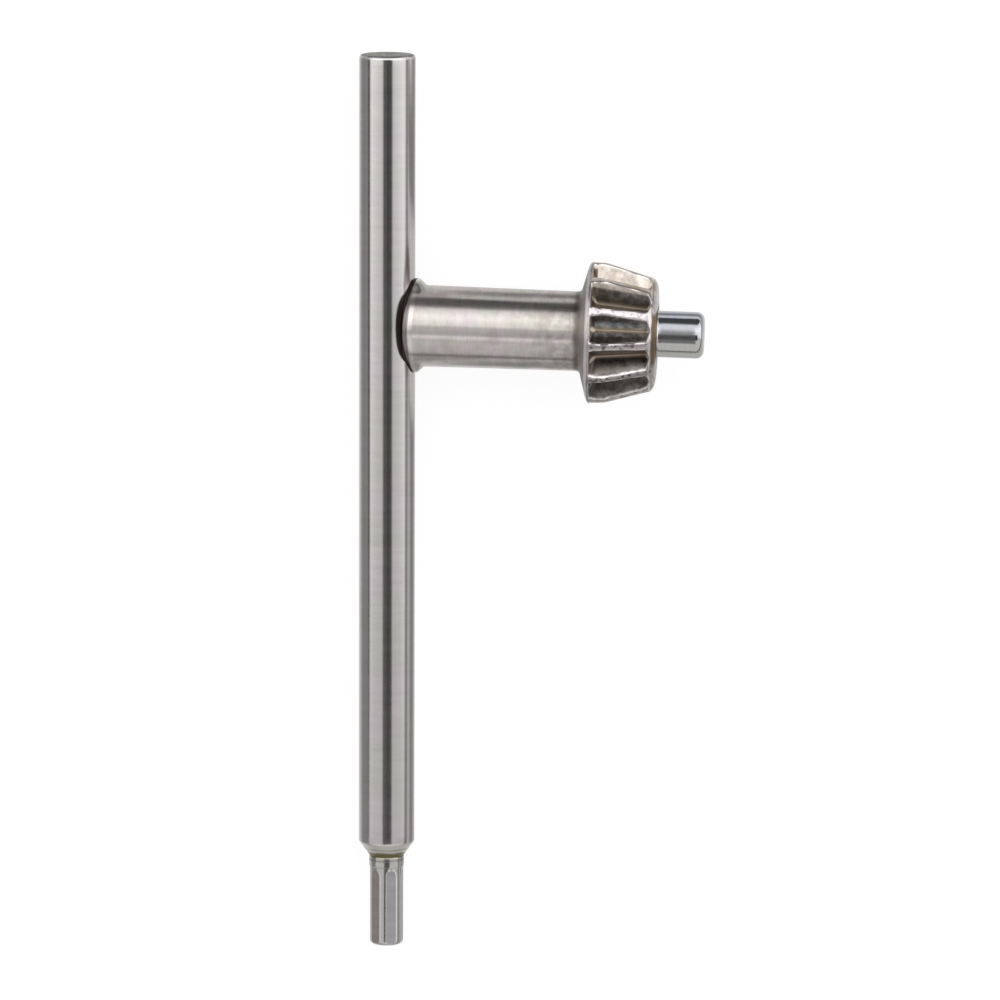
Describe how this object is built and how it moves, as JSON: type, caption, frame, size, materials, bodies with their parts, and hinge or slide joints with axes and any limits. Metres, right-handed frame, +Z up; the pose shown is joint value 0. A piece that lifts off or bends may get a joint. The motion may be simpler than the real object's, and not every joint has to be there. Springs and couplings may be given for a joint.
{
  "type": "drill chuck key",
  "caption": "Steel drill chuck key with a bevel pinion and pilot pin welded to a round cross bar that ends in a hexagon tip.",
  "frame": {"origin": "on the resting surface, under the middle of the whole key's box", "axes": "+Y along the cross bar towards its plain end, +X towards the pilot pin, +Z up; the key lies at rest"},
  "size_m": [0.043, 0.113, 0.0176],
  "materials": {
    "ground_steel": "ground round, fine lines across the bar, light polish",
    "forged_steel": "tumbled satin with worn bright edges and brown stains"
  },
  "bodies": {
    "root": {"cross_bar": "ground_steel", "key_body": "forged_steel"}
  },
  "joints": []
}
